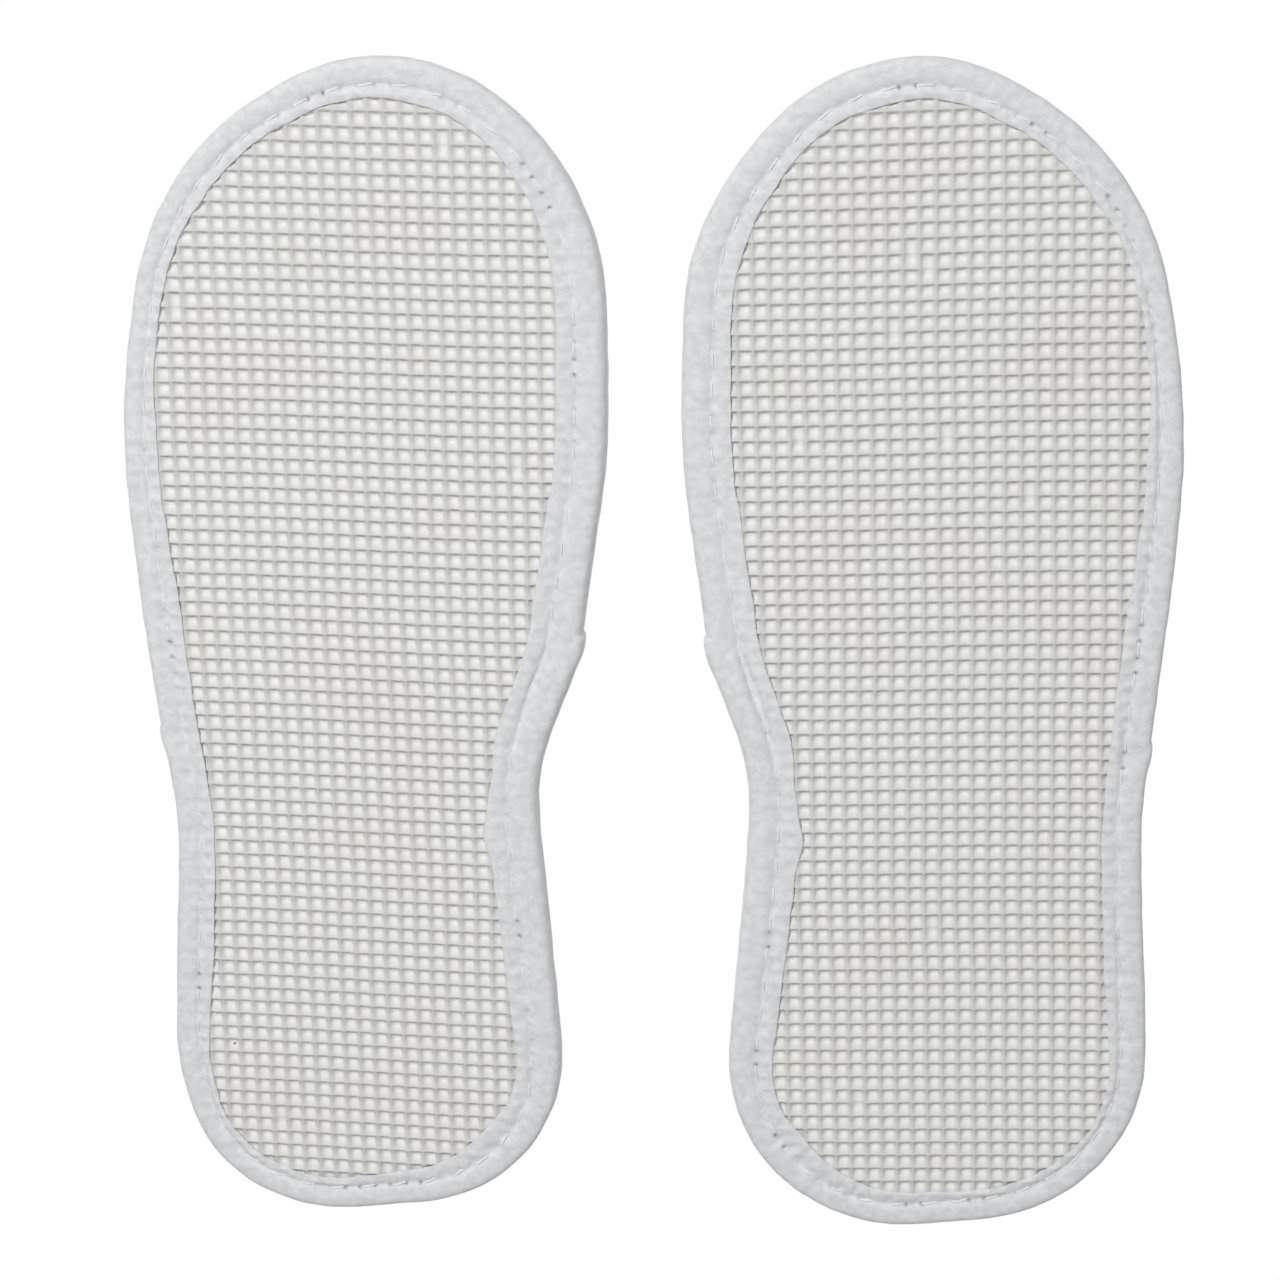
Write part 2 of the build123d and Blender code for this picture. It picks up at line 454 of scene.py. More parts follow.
# A number for each rib between two crossings, so that a few of them can be lost.
RIB_SUMS = [
    ("row number", "MULTIPLY", "nearest Y", 211),
    ("column number", "ADD", "cell X", 90001),
    ("rib number", "ADD", "row number", "column number")]
PLACE_SUMS = [
    ("twice far *", "MULTIPLY", "far *", 2),
    ("way *", "SUBTRACT", 1, "twice far *"),
    ("signed offset *", "MULTIPLY", "offset *", "way *"),
    ("middle cell *", "MULTIPLY", "Cells *", 0.5),
    ("from the middle *", "SUBTRACT", "nearest *", "middle cell *"),
    ("rib line *", "MULTIPLY", "from the middle *", "Pitch *"),
    ("where *", "ADD", "rib line *", "signed offset *")]
LEVEL_SUMS = [
    ("off the crossing", "GREATER_THAN", "ring X", 1.5),
    ("lost here", "MULTIPLY", "lost", "off the crossing"),
    ("worn away", "MULTIPLY", "lost here", 0.8),
    ("still there", "SUBTRACT", 1, "worn away"),
    ("kept Y", "MULTIPLY", "rib Y", "still there"),
    ("open X", "SUBTRACT", 1, "rib X"),
    ("open Y", "SUBTRACT", 1, "kept Y"),
    ("open", "MULTIPLY", "open X", "open Y"),
    ("both rings", "ADD", "ring X", "ring Y"),
    ("pit centre", "GREATER_THAN", "both rings", 5.5),
    ("crown", "MULTIPLY", "pit centre", "Floor Crown"),
    ("sunk", "MULTIPLY", "open", "Pit Depth"),
    ("level", "SUBTRACT", "sunk", "crown")]
# How high a rib stands at each of its steps, from crest to the pit's middle.
RIB_PROFILE = (1.0, 0.86, 0.02, 0.0)


def for_each_axis(rows):
    """Rows of sums written once, with * for the axis, repeated for X and Y."""
    return [tuple(part.replace("*", axis) if isinstance(part, str) else part for part in row)
            for axis in "XY" for row in rows]


def open_tree(name, inputs):
    """A new Geometry Nodes tree with named inputs, and its input sockets by name."""
    tree = bpy.data.node_groups.new(name, "GeometryNodeTree")
    for key, kind in inputs.items():
        tree.interface.new_socket(name=key, in_out="INPUT", socket_type="NodeSocket" + kind)
    tree.interface.new_socket(name="Geometry", in_out="OUTPUT", socket_type="NodeSocketGeometry")
    return tree, dict(add_node(tree, "NodeGroupInput").outputs.items())


def close_tree(tree, geometry, material):
    """Ends a tree in real geometry with its material."""
    real = add_node(tree, "GeometryNodeRealizeInstances", inputs={"Geometry": geometry})
    clad = add_node(tree, "GeometryNodeSetMaterial", inputs={
        "Geometry": real.outputs[0], "Material": material})
    add_node(tree, "NodeGroupOutput", inputs={0: clad.outputs[0]})
    return tree


def waffle_tree():
    """A flat lattice of ribs round square pits, ribs towards the ground."""
    tree, known = open_tree("waffle_tread", {
        "Geometry": "Geometry", "Cells X": "Int", "Cells Y": "Int", "Pitch X": "Float",
        "Pitch Y": "Float", "Crest X": "Float", "Crest Y": "Float", "Foot X": "Float",
        "Steep Foot": "Float", "Gentle Foot": "Float", "Pit Depth": "Float", "Floor Crown": "Float",
        "Missing Ribs": "Float", "Seed": "Int", "Material": "Material"})
    here = add_node(tree, "GeometryNodeInputPosition").outputs[0]
    place = add_node(tree, "ShaderNodeSeparateXYZ", inputs={0: here})
    known["place X"], known["place Y"] = place.outputs[0], place.outputs[1]
    for gives, operation, first, second in for_each_axis(STEP_SUMS) + RIB_SUMS:
        known[gives] = add_node(tree, "ShaderNodeMath", {"operation": operation}, {
            0: known.get(first, first), 1: known.get(second, second)}).outputs[0]
    known["Foot Y"] = add_node(tree, "ShaderNodeMix", {"data_type": "FLOAT"}, {
        0: known["far Y"], 2: known["Gentle Foot"], 3: known["Steep Foot"]}).outputs[0]
    for axis in "XY":
        offsets = (0.0, known[f"Crest {axis}"], known[f"Foot {axis}"], known[f"half {axis}"])
        for name, entries in (("offset", offsets), ("rib", RIB_PROFILE)):
            switch = add_node(tree, "GeometryNodeIndexSwitch", {"data_type": "FLOAT"})
            while len(switch.index_switch_items) < len(entries):
                switch.index_switch_items.new()
            feed(tree, switch, {0: known[f"index {axis}"], **dict(enumerate(entries, 1))})
            known[f"{name} {axis}"] = switch.outputs[0]
    known["lost"] = add_node(tree, "FunctionNodeRandomValue", {"data_type": "BOOLEAN"}, {
        "Probability": known["Missing Ribs"], "ID": known["rib number"],
        "Seed": known["Seed"]}).outputs[3]
    for gives, operation, first, second in for_each_axis(PLACE_SUMS) + LEVEL_SUMS:
        known[gives] = add_node(tree, "ShaderNodeMath", {"operation": operation}, {
            0: known.get(first, first), 1: known.get(second, second)}).outputs[0]
    grid = add_node(tree, "GeometryNodeMeshGrid", inputs={
        "Size X": 1.0, "Size Y": 1.0, "Vertices X": known["points X"], "Vertices Y": known["points Y"]})
    target = add_node(tree, "ShaderNodeCombineXYZ", inputs={
        "X": known["where X"], "Y": known["where Y"], "Z": known["level"]})
    moved = add_node(tree, "GeometryNodeSetPosition", inputs={
        "Geometry": grid.outputs[0], "Position": target.outputs[0]})
    turned = add_node(tree, "GeometryNodeFlipFaces", inputs={"Mesh": moved.outputs[0]})
    return close_tree(tree, turned.outputs[0], known["Material"])


def stitch_tree():
    """Short arched thread ends laid along a seam."""
    tree, known = open_tree("stitch_row", {
        "Geometry": "Geometry", "Stitches": "Int", "Stitch Length": "Float", "Thread Width": "Float",
        "Rise": "Float", "Slant": "Float", "Seed": "Int", "Material": "Material"})
    known["looseness"] = add_node(tree, "FunctionNodeRandomValue", {"data_type": "FLOAT"}, {
        2: 0.4, 3: 1.6, "Seed": known["Seed"]}).outputs[1]
    for gives, first, second in (
            ("back", "Stitch Length", -0.5), ("ahead", "Stitch Length", 0.5), ("lean", "Slant", "looseness"),
            ("sunk", "Thread Width", -0.55), ("thickness", "Thread Width", 0.5)):
        known[gives] = add_node(tree, "ShaderNodeMath", {"operation": "MULTIPLY"}, {
            0: known[first], 1: known.get(second, second)}).outputs[0]
    start, top, end, slant = (add_node(tree, "ShaderNodeCombineXYZ", inputs=parts).outputs[0] for parts in (
        {"X": known["back"], "Z": known["sunk"]}, {"Z": known["Rise"]},
        {"X": known["ahead"], "Z": known["sunk"]}, {"Z": known["lean"]}))
    bow = add_node(tree, "GeometryNodeCurveQuadraticBezier", inputs={
        "Resolution": STRAND_SIDES, "Start": start, "Middle": top, "End": end})
    ring = add_node(tree, "GeometryNodeCurvePrimitiveCircle", {"mode": "RADIUS"}, {
        "Resolution": STRAND_SIDES, "Radius": known["thickness"]})
    strand = add_node(tree, "GeometryNodeCurveToMesh", inputs={
        "Fill Caps": True, "Curve": bow.outputs[0], "Profile Curve": ring.outputs[0]})
    seam = add_node(tree, "GeometryNodeMeshToCurve", inputs={"Mesh": known["Geometry"]})
    spaced = add_node(tree, "GeometryNodeResampleCurve", {"mode": "COUNT"}, {
        "Curve": seam.outputs[0], "Count": known["Stitches"]})
    up = add_node(tree, "GeometryNodeInputNamedAttribute", {"data_type": "FLOAT_VECTOR"}, {"Name": "up"})
    along = add_node(tree, "GeometryNodeInputTangent")
    upright = add_node(tree, "FunctionNodeAlignRotationToVector", {"axis": "Z"}, {
        "Vector": up.outputs[0]})
    facing = add_node(tree, "FunctionNodeAlignRotationToVector", {"axis": "X", "pivot_axis": "Z"}, {
        "Rotation": upright.outputs[0], "Vector": along.outputs[0]})
    laid = add_node(tree, "FunctionNodeRotateRotation", {"rotation_space": "LOCAL"}, {
        0: facing.outputs[0], 1: slant})
    sewn = add_node(tree, "GeometryNodeInstanceOnPoints", inputs={
        "Points": spaced.outputs[0], "Instance": strand.outputs[0], "Rotation": laid.outputs[0]})
    rounded = add_node(tree, "GeometryNodeSetShadeSmooth", inputs={"Geometry": sewn.outputs[0]})
    return close_tree(tree, rounded.outputs[0], known["Material"])


def grown(name, carrier, tree, inputs):
    """The plain mesh that a Geometry Nodes tree makes on a carrier object, which is then removed."""
    modifier = carrier.modifiers.new("grow", "NODES")
    modifier.node_group = tree
    for socket in tree.interface.items_tree:
        if socket.in_out == "INPUT" and socket.name in inputs:
            modifier[socket.identifier] = inputs[socket.name]
    graph = bpy.context.evaluated_depsgraph_get()
    mesh = bpy.data.meshes.new_from_object(carrier.evaluated_get(graph))
    mesh.name = name
    bpy.data.objects.remove(carrier)
    return mesh


def carrier_of(points, edges, up=None):
    """An object for a tree to grow on, with the direction away from the cloth where it is given."""
    mesh = bpy.data.meshes.new("carrier")
    mesh.from_pydata(np.asarray(points).tolist(), edges, [])
    if up is not None:
        layer = mesh.attributes.new("up", "FLOAT_VECTOR", "POINT")
        layer.data.foreach_set("vector", np.asarray(up, np.float32).ravel())
    return link("carrier", mesh)


# ---------------------------------------------------------------- materials
# Broad stains of the foam: noise scale per mm, detail, turn, where it starts, where it is full, colour.
FOAM_STAINS = (
    (0.022, 3.0, 0.0, 0.55, 0.75, "#F9F4F1"),
    (0.031, 2.0, 1.1, 0.56, 0.78, "#F7F6EE"))


def new_material(name):
    """An empty material, its tree, and its Object coordinates."""
    material = bpy.data.materials.new(name)
    material.use_nodes = True
    tree = material.node_tree
    tree.nodes.clear()
    return material, tree, add_node(tree, "ShaderNodeTexCoord").outputs["Object"]


def foam_material():
    """Closed-cell EVA foam, waffle-embossed by a hot roller: a dull, slightly warm white surface with fine
    pores, faint pink and straw-coloured stains, a few specks, and painted shade that greys the ribs' crests."""
    material, tree, place = new_material("embossed_eva_foam")
    mm = add_node(tree, "ShaderNodeMapping", inputs={"Vector": place, "Scale": PER_MM}).outputs[0]
    layers = []
    for scale, detail, turn, low, high, stain in FOAM_STAINS:
        turned = add_node(tree, "ShaderNodeMapping", inputs={
            "Vector": place, "Rotation": (0, 0, turn), "Scale": PER_MM})
        broad = add_node(tree, "ShaderNodeTexNoise", inputs={
            "Vector": turned.outputs[0], "Scale": scale, "Detail": detail})
        patch = add_node(tree, "ShaderNodeMapRange", inputs={
            "Value": broad.outputs[0], "From Min": low, "From Max": high})
        layers.append((patch.outputs[0], stain))
    cloudy = add_node(tree, "ShaderNodeTexNoise", inputs={
        "Vector": mm, "Scale": 0.35, "Detail": 5.0, "Roughness": 0.65})
    cloud = add_node(tree, "ShaderNodeMath", {"operation": "MULTIPLY"}, {0: cloudy.outputs[0], 1: 0.30})
    # Painted shade: the ribs' crests, as the tread's 'crest' attribute gives them, are coloured greyer than
    # the pits.
    crest = add_node(tree, "ShaderNodeAttribute", {"attribute_name": "crest"})
    painted_crest_shade = add_node(tree, "ShaderNodeMath", {"operation": "MULTIPLY"}, {0: crest.outputs["Fac"], 1: 0.8})
    speck = add_node(tree, "ShaderNodeTexVoronoi", {"feature": "F1"}, {"Vector": mm, "Scale": 0.045})
    dark = add_node(tree, "ShaderNodeMath", {"operation": "LESS_THAN"}, {
        0: speck.outputs["Distance"], 1: 0.014})
    layers += [(cloud.outputs[0], "#E9E9E6"), (painted_crest_shade.outputs[0], "#DCDCD9"), (dark.outputs[0], "#6F6A63")]
    base = linear("#FAFAF8")
    for share, colour in layers:
        base = add_node(tree, "ShaderNodeMix", {"data_type": "RGBA"}, {
            0: share, 6: base, 7: linear(colour)}).outputs[2]
    pores = add_node(tree, "ShaderNodeTexNoise", inputs={
        "Vector": mm, "Scale": 2.4, "Detail": 4.0, "Roughness": 0.7})
    bump = add_node(tree, "ShaderNodeBump", inputs={
        "Height": pores.outputs[0], "Strength": 0.35, "Distance": 0.12 * METRES})
    shader = add_node(tree, "ShaderNodeBsdfPrincipled", inputs={
        "Base Color": base, "Normal": bump.outputs[0], "Roughness": 0.72, "IOR": 1.48,
        "Specular IOR Level": 0.35})
    add_node(tree, "ShaderNodeOutputMaterial", inputs={0: shader.outputs[0]})
    return material


def cloth_material(name, colour, shade, fibre, depth, sheen, roughness=0.9, needle_shade_on=False):
    """A cloth of loose fibres: streaks of fibre in three directions, thick and thin places, soft sheen.
    Fibre is the width that shows, in mm, coarser than one real fibre; depth is how high they lie."""
    material, tree, place = new_material(name)
    mm = add_node(tree, "ShaderNodeMapping", inputs={"Vector": place, "Scale": PER_MM}).outputs[0]
    height = 0.0
    for turn, stretch in ((0.3, 7.0), (1.35, 6.0), (2.4, 8.0)):
        size = [part / METRES for part in (1 / (fibre * stretch), 1 / fibre, 1 / fibre)]
        turned = add_node(tree, "ShaderNodeMapping", inputs={
            "Vector": place, "Rotation": (turn * 0.3, turn * 0.2, turn), "Scale": size})
        streak = add_node(tree, "ShaderNodeTexNoise", inputs={
            "Vector": turned.outputs[0], "Scale": 1.0, "Detail": 3.0, "Roughness": 0.6, "Distortion": 0.6})
        height = add_node(tree, "ShaderNodeMath", {"operation": "MAXIMUM"}, {
            0: height, 1: streak.outputs[0]}).outputs[0]
    cloud = add_node(tree, "ShaderNodeTexNoise", inputs={
        "Vector": mm, "Scale": 0.45, "Detail": 4.0, "Roughness": 0.6})
    thin = add_node(tree, "ShaderNodeMapRange", inputs={
        "Value": cloud.outputs[0], "From Min": 0.36, "From Max": 0.64})
    fibres = add_node(tree, "ShaderNodeMapRange", inputs={
        "Value": height, "From Min": 0.50, "From Max": 0.75, "To Min": 0.35, "To Max": 0.0})
    layers = [(thin.outputs[0], shade), (fibres.outputs[0], shade)]
    # Painted shade: dark spots where the needle pierced the cloth, read from the 'needle' attribute.
    if needle_shade_on:
        painted_needle_shade = add_node(tree, "ShaderNodeAttribute", {"attribute_name": "needle"})
        layers.append((painted_needle_shade.outputs["Fac"], "#55565A"))
    base = linear(colour)
    for share, over in layers:
        base = add_node(tree, "ShaderNodeMix", {"data_type": "RGBA"}, {
            0: share, 6: base, 7: linear(over)}).outputs[2]
    bump = add_node(tree, "ShaderNodeBump", inputs={
        "Height": height, "Strength": 0.8, "Distance": depth * METRES})
    shader = add_node(tree, "ShaderNodeBsdfPrincipled", inputs={
        "Base Color": base, "Normal": bump.outputs[0], "Roughness": roughness, "IOR": 1.5,
        "Specular IOR Level": 0.25, "Sheen Weight": sheen, "Sheen Roughness": 0.5})
    add_node(tree, "ShaderNodeOutputMaterial", inputs={0: shader.outputs[0]})
    return material


def thread_material():
    """Spun polyester sewing thread: bright white, two plies twisted, a slight gloss."""
    material, tree, place = new_material("polyester_sewing_thread")
    mm = add_node(tree, "ShaderNodeMapping", inputs={"Vector": place, "Scale": PER_MM}).outputs[0]
    ply = add_node(tree, "ShaderNodeTexWave", {"wave_type": "BANDS", "bands_direction": "DIAGONAL"}, {
        "Vector": mm, "Scale": 1.1, "Distortion": 1.0})
    base = add_node(tree, "ShaderNodeMix", {"data_type": "RGBA"}, {
        0: ply.outputs[1], 6: linear("#F2F3F5"), 7: linear("#FFFFFF")})
    bump = add_node(tree, "ShaderNodeBump", inputs={
        "Height": ply.outputs[1], "Strength": 0.4, "Distance": 0.08 * METRES})
    shader = add_node(tree, "ShaderNodeBsdfPrincipled", inputs={
        "Base Color": base.outputs[2], "Normal": bump.outputs[0], "Roughness": 0.5, "IOR": 1.54,
        "Sheen Weight": 0.1})
    add_node(tree, "ShaderNodeOutputMaterial", inputs={0: shader.outputs[0]})
    return material


eva = foam_material()
# Spunbonded polypropylene tape: cool white, matted fibres, thin and thick places that show as mottling.
# Dark spots painted beside a few of its stitches stand for the shade inside needle piercings.
tape = cloth_material("spunbonded_binding_tape", "#FEFEFF", "#E9EAED", 0.22, 0.18, 0.10, needle_shade_on=True)
# Brushed polyester vamp cloth: a raised nap that scatters light softly.
nap = cloth_material("brushed_polyester_cloth", "#F6F5F2", "#E2E0DB", 0.18, 0.30, 0.35, 0.95)
# Smooth spunlaced lining.
lining = cloth_material("spunlaced_lining", "#F4F3F0", "#E6E5E1", 0.25, 0.10, 0.10)
# Footbed cover of the same brushed cloth, pressed flatter by the laminating rollers.
footbed_nap = cloth_material("laminated_footbed_cloth", "#F5F4F1", "#E3E1DC", 0.20, 0.20, 0.25, 0.93)
# Open-cell polyurethane sponge, cut: pale and matt with open pores.
sponge = cloth_material("cut_polyurethane_sponge", "#EFEBDC", "#DDD6C2", 0.5, 0.25, 0.0)
thread = thread_material()


def dress(piece, material, side, slot, replaced):
    """Gives a piece its material and its slipper, and hides the CAD node that it stands for; slot is not
    used.
    """
    piece.data.materials.clear()
    piece.data.materials.append(material)
    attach(piece, BODY[side])
    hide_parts(f"{side}_{replaced}")
    return piece


def sew(side, seam, line, edges, up, inputs):
    """A row of stitches along a line in millimetres."""
    tree = bpy.data.node_groups.get("stitch_row") or stitch_tree()
    row = grown(f"{side}_{seam}_stitches", carrier_of(line, edges, up), tree, {
        "Thread Width": THREAD, "Material": thread, **inputs})
    row.transform(Matrix.Scale(METRES, 4))
    dress(link(row.name, row), thread, side, "thread", f"{seam}_thread")


# ---------------------------------------------------------------- sole
def lay(points, side):
    """Right-hand points to the slipper they belong to."""
    out = np.array(points, float)
    out[..., 0] *= SIDES[side]
    return out


def rim_points(sole, depth, height):
    """Points at the given depths in from the rim and heights; both [samples] or [samples, n]."""
    depth, height = np.asarray(depth, float), np.asarray(height, float)
    if depth.ndim == 1:
        depth, height = depth[:, None], height[:, None]
    flat = sole.rim[:, None, :] + sole.inward[:, None, :] * depth[..., None]
    return np.concatenate([flat, height[..., None]], -1)


def tread_level(sole, depth, nearest):
    """How far the rim's seam lifts the foam off the ground."""
    from_tape = depth - sole.tape_width[nearest]
    return 0.10 + 0.55 * smoothstep(0.5, -0.8, from_tape) + 1.6 * smoothstep(-0.8, -2.6, from_tape)


def build_outsole(sole):
    """The foam sheet: a waffle cut to the rim, with walls and a flat top."""
    side = sole.side
    tree = bpy.data.node_groups.get("waffle_tread") or waffle_tree()
    sheet = grown("tread", carrier_of([(0, 0, 0)], []), tree, {
        "Cells X": CELLS_ACROSS, "Cells Y": CELLS_ALONG, "Pitch X": CELL_ACROSS, "Pitch Y": CELL_ALONG,
        "Crest X": CREST_ACROSS, "Crest Y": CREST_ALONG, "Foot X": FOOT_HALF, "Steep Foot": STEEP_FOOT,
        "Gentle Foot": GENTLE_FOOT, "Pit Depth": PIT_DEPTH, "Floor Crown": FLOOR_CROWN,
        "Missing Ribs": 0.003, "Seed": RIB_SEED[side], "Material": eva})
    work = bmesh.new()
    work.from_mesh(sheet)
    bpy.data.meshes.remove(sheet)
    place = np.array([v.co for v in work.verts])
    flat = from_lattice(place[:, :2], side)
    depth, nearest = sole.depth(flat)
    # Under the tape the seam squeezes the ribs flat and lifts them.
    squeezed = smoothstep(0.6, -1.6, depth - sole.tape_width[nearest])
    level = place[:, 2] * (1 - 0.75 * squeezed) + tread_level(sole, depth, nearest)
    level += 0.07 * hum(8, flat[:, 0] / 1.3, flat[:, 1] / 1.7)
    # How near each point lies to a rib's crest. Stored as the 'crest' attribute, it makes the foam's material
    # paint the crests greyer, as shade.
    crest = 1 - np.clip(place[:, 2] / PIT_DEPTH, 0, 1)
    crest_shade_layer = work.verts.layers.float.new("crest")
    for v, value, p in zip(work.verts, crest, lay(np.column_stack([flat, level]), side)):
        v[crest_shade_layer] = value
        v.co = p
    if side == "left":
        bmesh.ops.reverse_faces(work, faces=work.faces)
    gone = [v for v, d in zip(work.verts, depth) if d < FOAM_INSET]
    bmesh.ops.delete(work, geom=gone, context="VERTS")
    edges = [e for e in work.edges if e.is_boundary]
    for part in bmesh.ops.extrude_edge_only(work, edges=edges)["geom"]:
        if isinstance(part, bmesh.types.BMVert):
            part.co.z = OUTSOLE_TOP
    rims = [e for e in work.edges if e.is_boundary]
    cap = bmesh.ops.holes_fill(work, edges=rims, sides=0)["faces"]
    bmesh.ops.triangulate(work, faces=cap)
    for v in work.verts:
        v.co *= METRES
    mesh = bpy.data.meshes.new(f"{side}_outsole_waffle")
    work.to_mesh(mesh)
    work.free()
    finish_mesh(mesh)
    dress(link(mesh.name, mesh), eva, side, "outsole_foam", "outsole")


def tape_section(sole):
    """The tape's depth and height at each rim sample, and the places along its section."""
    controls = np.array(TAPE_OUTSIDE + TAPE_INSIDE)
    depth, height = (np.repeat(controls[None, :, i], RIM, axis=0) for i in (0, 1))
    # The ground flange follows the tape's real width and seam.
    seam, width = sole.seam_depth[:, None], sole.tape_width[:, None]
    inboard = seam + (depth - SEAM_INSET) * (width - seam) / (GROUND_FLANGE - SEAM_INSET)
    warped = np.where(depth <= SEAM_INSET, depth * seam / SEAM_INSET, inboard)
    depth = np.where(height < GROUND_BELOW, warped, depth)
    # Round the heel no vamp lies under the tape, so its top drops.
    drop = (1 - sole.in_front)[:, None] * HEEL_DROP
    height = np.where(height > 5.0, height - drop * smoothstep(4.0, 8.5, height), height)
    last = len(TAPE_OUTSIDE) - 1
    places = np.concatenate([np.arange(0, last, 0.5), np.arange(last, len(controls), 1.0)])
    return catmull(depth, places), catmull(height, places), places


def stitch_phase(sole):
    """How many stitches the sole's seam has, and which one each rim sample is at."""
    line = sole.rim + sole.inward * sole.seam_depth[:, None]
    run = np.concatenate([[0], np.cumsum(np.linalg.norm(np.diff(line, axis=0), axis=1))])
    around = run[-1] + np.linalg.norm(line[0] - line[-1])
    stitches = round(around / STITCH_PITCH)
    return stitches, (run / around * stitches)[:, None]


def tape_relief(sole, depth, phase):
    """How the ground flange rises: its puckers, its creases, and the tread pressed through it."""
    arc, seed = sole.arc, TAPE_SEED[sole.side]
    from_seam = depth - sole.seam_depth[:, None]
    # The thread pulls the tape in at each stitch and lets it puff between.
    pull = 0.5 + 0.5 * np.cos(2 * math.pi * (phase - 0.5))
    puff = bell(from_seam, 1.6) * (0.20 * pull - 0.12) - 0.10 * bell(from_seam + 2.8, 1.6) * (1 - pull)
    puff += 0.09 * hum(seed + 1, (arc / 2.4)[:, None], depth / 1.9)
    puff += 0.16 * hum(seed, arc / 5.0)[:, None] * bell(from_seam + 2.5, 2.0)
    # A sharp crease along the medial arch with a bulge outside it, and pleats at the heel's corner.
    arch = sole.bump("medial", 139, 13)[:, None]
    bulge = np.clip(-from_seam / 3.0, 0, 1) * smoothstep(-0.3, 1.5, depth)
    crease = 1.35 * arch * bell(from_seam, 0.85) - 0.45 * arch * bulge
    pleats = np.sin(arc / 0.9 + 2 * np.sin(arc / 4.0)) * sole.bump("medial", 12, 14)
    crease += 0.22 * pleats[:, None] * bell(from_seam - 1, 2.5)
    # Dents where the throat tape's ends are folded in.
    crease += 0.35 * sole.bump("medial", 152, 2.2)[:, None] * bell(from_seam + 2, 2.0)
    crease += 0.35 * sole.bump("lateral", 124, 3.0)[:, None] * bell(from_seam + 2, 2.5)
    # Ribs of the tread press through the tape inboard of the seam, and faintly elsewhere.
    pitch = np.array([CELL_ACROSS, CELL_ALONG])
    cell = to_lattice(sole.rim[:, None, :] + sole.inward[:, None, :] * depth[..., None], sole.side) / pitch
    rib = bell((cell - np.round(cell)) * pitch, 0.75).max(-1)
    faint = (0.05 + 0.10 * (1 - sole.near_medial[:, None])) * smoothstep(0.8, 2.5, depth)
    pressed = (0.5 - rib) * (0.20 * smoothstep(-0.5, 1.2, from_seam) + faint)
    return puff, crease, pressed


def build_sole_binding(sole):
    """The tape folded round the sole's edge, and its two rows of stitches."""
    side, arc, seed = sole.side, sole.arc, TAPE_SEED[sole.side]
    depth, height, places = tape_section(sole)
    stitches, phase = stitch_phase(sole)
    puff, crease, pressed = tape_relief(sole, depth, phase)
    outside = places[None, :] < len(TAPE_OUTSIDE)
    low = (height < 2.6) & outside
    top = (places[None, :] > TOP_FROM) & outside
    height = height + np.where(low, puff + crease + pressed, 0) + np.where(top, -0.6 * puff, 0)
    from_seam = depth - sole.seam_depth[:, None]
    # The wall stands a little proud at the throat's corners, where the vamp's end is folded in.
    proud = 0.9 * sole.bump("medial", 152, 6) * smoothstep(155.6, 154.6, sole.own_y)
    proud += 0.6 * sole.bump("lateral", 124, 4) * smoothstep(126.5, 125.5, sole.own_y)
    proud += 0.35 * sole.bump("medial", 139, 13)
    proud += 0.12 * hum(seed + 3, arc / 3.0) + 0.10 * hum(seed + 4, arc / 11.0)
    depth = depth - proud[:, None] * smoothstep(5.5, 0.5, depth)
    points = rim_points(sole, depth, height)
    index = np.arange(depth.size).reshape(depth.shape)
    index = np.vstack([index, index[:1]])
    index = np.hstack([index, index[:, :1]])
    # Beside a few of the stitches' ends the tape is painted dark, standing for the shade inside the needle's
    # piercings.
    gap = np.abs((phase + 0.5) % 1 - 0.5) * STITCH_PITCH
    needle_shade = bell(gap - STITCH_LENGTH / 2 - 0.2, 0.42) * bell(from_seam, 0.5) * low
    shows = np.random.default_rng(seed + 9).choice([0.0, 0.3, 0.9], stitches + 1, p=[0.6, 0.28, 0.12])
    needle_shade *= shows[np.floor(phase).astype(int)]
    piece = make_piece(f"{side}_sole_tape", lay(points, side).reshape(-1, 3), quads(index),
                       attributes={"needle": needle_shade.ravel()})
    dress(piece, tape, side, "binding_tape", "sole_binding")

    in_seam = crease[:, np.argmin(np.abs(places - SEAM_CONTROL))]
    ground_level = 0.28 + 1.1 * in_seam + 0.05 * np.cos(2 * math.pi * phase[:, 0])
    top_level = 9.5 - HEEL_DROP * (1 - sole.in_front)
    ring = [(i, (i + 1) % RIM) for i in range(RIM)]
    for name, inset, level, up in (("needle", sole.seam_depth, ground_level, -1.0),
                                   ("bobbin", np.full(RIM, SEAM_INSET), top_level, 1.0)):
        line = lay(rim_points(sole, inset, level)[:, 0], side)
        if side == "left":
            line = np.vstack([line[:1], line[:0:-1]])
        sew(side, f"sole_{name}", line, ring, np.tile([0, 0, up], (RIM, 1)), {
            "Stitches": stitches, "Stitch Length": STITCH_LENGTH, "Rise": 0.42, "Slant": math.radians(7),
            "Seed": seed})
    return piece


# ---------------------------------------------------------------- vamp
def band_at(sole, inset):
    """The rim moved in by inset, in the own frame."""
    return to_own(sole.rim + sole.inward * inset)


def ends_at(line, y):
    """Medial and lateral x of a closed line at each y."""
    tip, tail = line[:, 1].max(), line[:, 1].min()
    y = np.clip(y, tail + 1e-6, tip - 1e-6)
    order_tip, order_tail = np.argmax(line[:, 1]), np.argmin(line[:, 1])
    rolled = np.roll(line, -order_tip, axis=0)
    split = (order_tail - order_tip) % len(line)
    first, second = rolled[:split + 1], np.vstack([rolled[split:], rolled[:1]])
    sides = []
    for part in (first, second):
        part = part[np.argsort(part[:, 1])]
        root = np.sqrt(np.maximum(tip - part[:, 1], 0))[::-1]
        sides.append(np.interp(np.sqrt(np.maximum(tip - y, 0)), root, part[::-1, 0]))
    return np.minimum(*sides), np.maximum(*sides)


